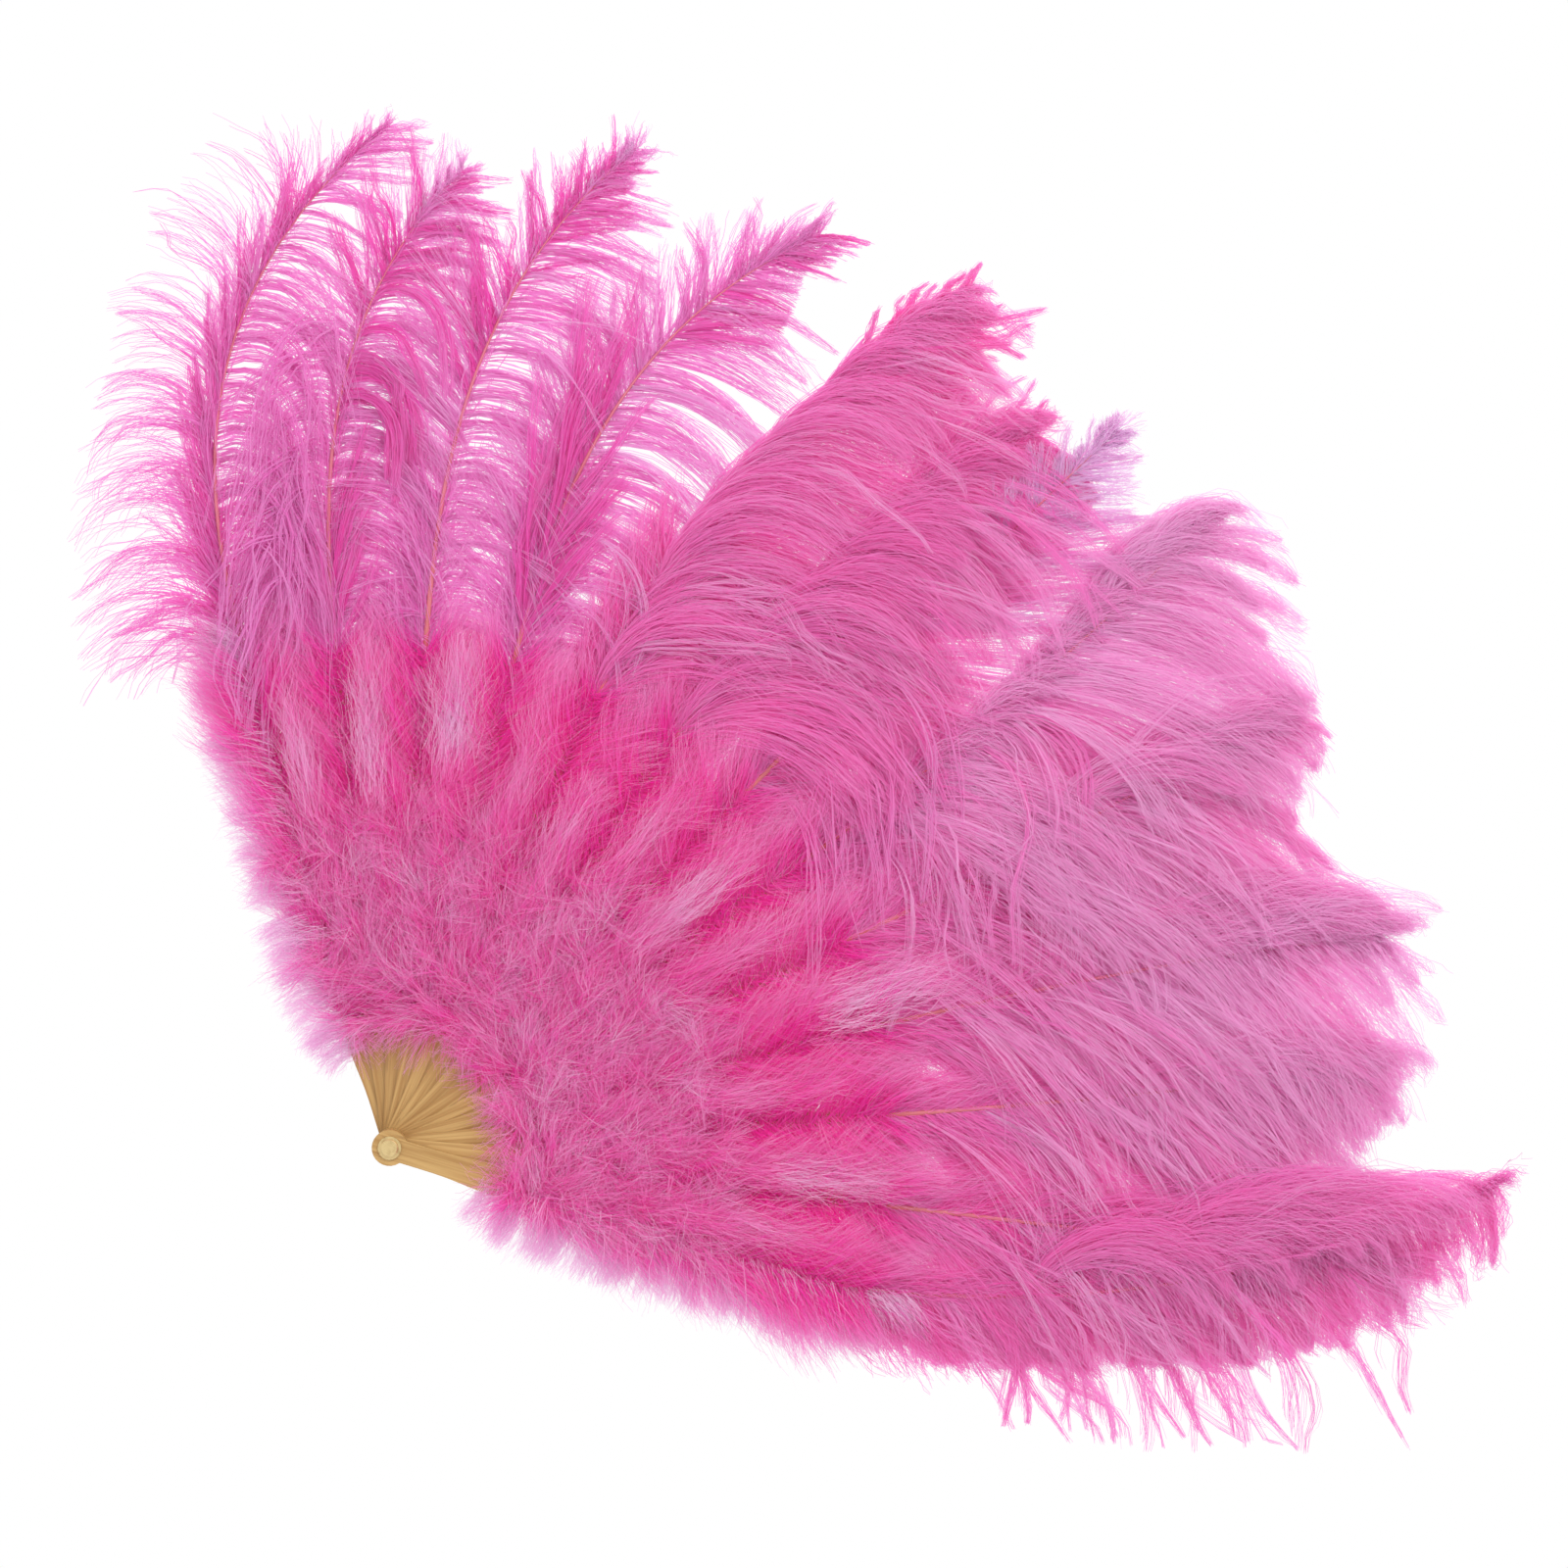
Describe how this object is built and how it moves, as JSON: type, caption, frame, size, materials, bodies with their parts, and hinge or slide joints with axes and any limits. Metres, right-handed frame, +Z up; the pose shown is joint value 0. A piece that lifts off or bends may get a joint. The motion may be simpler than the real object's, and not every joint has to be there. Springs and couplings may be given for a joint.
{
  "type": "folding feather fan",
  "caption": "Large folding feather fan: bamboo staves on one rivet, wrapped in pink marabou fluff and tipped with long curling ostrich plumes.",
  "frame": {"origin": "the middle of the rivet on which all staves turn", "axes": "+Z up and the fan spread in the XZ plane; the fan's front faces -Y; +Y runs along the rivet from the front guard to the rear guard"},
  "size_m": [0.7661, 0.07, 0.7093],
  "materials": {
    "bamboo": "satin",
    "quill": "satin",
    "plume": "matte",
    "marabou": "matte",
    "rivet": "satin"
  },
  "bodies": {
    "rear_leaf": {"rear_guard": "bamboo", "quill_rear": "quill", "plume_rear": "plume", "marabou_rear": "marabou", "puff_rear": "marabou", "rivet": "rivet", "washer_rear": "rivet", "washer_front": "rivet"},
    "leaf_01": {"stave_01": "bamboo", "quill_01": "quill", "plume_01": "plume", "marabou_01": "marabou"},
    "leaf_02": {"stave_02": "bamboo", "quill_02": "quill", "plume_02": "plume", "marabou_02": "marabou"},
    "leaf_03": {"stave_03": "bamboo", "quill_03": "quill", "plume_03": "plume", "marabou_03": "marabou"},
    "leaf_04": {"stave_04": "bamboo", "quill_04": "quill", "plume_04": "plume", "marabou_04": "marabou"},
    "leaf_05": {"stave_05": "bamboo", "quill_05": "quill", "plume_05": "plume", "marabou_05": "marabou"},
    "leaf_06": {"stave_06": "bamboo", "quill_06": "quill", "plume_06": "plume", "marabou_06": "marabou"},
    "leaf_07": {"stave_07": "bamboo", "quill_07": "quill", "plume_07": "plume", "marabou_07": "marabou"},
    "leaf_08": {"stave_08": "bamboo", "quill_08": "quill", "plume_08": "plume", "marabou_08": "marabou"},
    "leaf_09": {"stave_09": "bamboo", "quill_09": "quill", "plume_09": "plume", "marabou_09": "marabou"},
    "leaf_10": {"stave_10": "bamboo", "quill_10": "quill", "plume_10": "plume", "marabou_10": "marabou"},
    "leaf_11": {"stave_11": "bamboo", "quill_11": "quill", "plume_11": "plume", "marabou_11": "marabou"},
    "front_leaf": {"front_guard": "bamboo", "quill_front": "quill", "plume_front": "plume", "marabou_front": "marabou", "puff_front": "marabou"}
  },
  "joints": [
    {"name": "front_guard_turn", "type": "hinge", "parent": "rear_leaf", "child": "front_leaf", "pos_m": [0, 0, 0], "axis": [0, 1, 0], "range_deg": [-124, 56]},
    {"name": "stave_01_turn", "type": "hinge", "parent": "rear_leaf", "child": "leaf_01", "pos_m": [0, 0, 0], "axis": [0, 1, 0], "range_deg": [-10.4, 4.7]},
    {"name": "stave_02_turn", "type": "hinge", "parent": "rear_leaf", "child": "leaf_02", "pos_m": [0, 0, 0], "axis": [0, 1, 0], "range_deg": [-20.7, 9.4]},
    {"name": "stave_03_turn", "type": "hinge", "parent": "rear_leaf", "child": "leaf_03", "pos_m": [0, 0, 0], "axis": [0, 1, 0], "range_deg": [-31, 14]},
    {"name": "stave_04_turn", "type": "hinge", "parent": "rear_leaf", "child": "leaf_04", "pos_m": [0, 0, 0], "axis": [0, 1, 0], "range_deg": [-41.4, 18.7]},
    {"name": "stave_05_turn", "type": "hinge", "parent": "rear_leaf", "child": "leaf_05", "pos_m": [0, 0, 0], "axis": [0, 1, 0], "range_deg": [-51.7, 23.4]},
    {"name": "stave_06_turn", "type": "hinge", "parent": "rear_leaf", "child": "leaf_06", "pos_m": [0, 0, 0], "axis": [0, 1, 0], "range_deg": [-62, 28]},
    {"name": "stave_07_turn", "type": "hinge", "parent": "rear_leaf", "child": "leaf_07", "pos_m": [0, 0, 0], "axis": [0, 1, 0], "range_deg": [-72.4, 32.7]},
    {"name": "stave_08_turn", "type": "hinge", "parent": "rear_leaf", "child": "leaf_08", "pos_m": [0, 0, 0], "axis": [0, 1, 0], "range_deg": [-82.7, 37.4]},
    {"name": "stave_09_turn", "type": "hinge", "parent": "rear_leaf", "child": "leaf_09", "pos_m": [0, 0, 0], "axis": [0, 1, 0], "range_deg": [-93, 42]},
    {"name": "stave_10_turn", "type": "hinge", "parent": "rear_leaf", "child": "leaf_10", "pos_m": [0, 0, 0], "axis": [0, 1, 0], "range_deg": [-103.4, 46.7]},
    {"name": "stave_11_turn", "type": "hinge", "parent": "rear_leaf", "child": "leaf_11", "pos_m": [0, 0, 0], "axis": [0, 1, 0], "range_deg": [-113.7, 51.4]}
  ],
  "couplings": [
    {"joint": "stave_01_turn", "follows": "front_guard_turn", "ratio": 0.083333},
    {"joint": "stave_02_turn", "follows": "front_guard_turn", "ratio": 0.16667},
    {"joint": "stave_03_turn", "follows": "front_guard_turn", "ratio": 0.25},
    {"joint": "stave_04_turn", "follows": "front_guard_turn", "ratio": 0.33333},
    {"joint": "stave_05_turn", "follows": "front_guard_turn", "ratio": 0.41667},
    {"joint": "stave_06_turn", "follows": "front_guard_turn", "ratio": 0.5},
    {"joint": "stave_07_turn", "follows": "front_guard_turn", "ratio": 0.58333},
    {"joint": "stave_08_turn", "follows": "front_guard_turn", "ratio": 0.66667},
    {"joint": "stave_09_turn", "follows": "front_guard_turn", "ratio": 0.75},
    {"joint": "stave_10_turn", "follows": "front_guard_turn", "ratio": 0.83333},
    {"joint": "stave_11_turn", "follows": "front_guard_turn", "ratio": 0.91667}
  ]
}
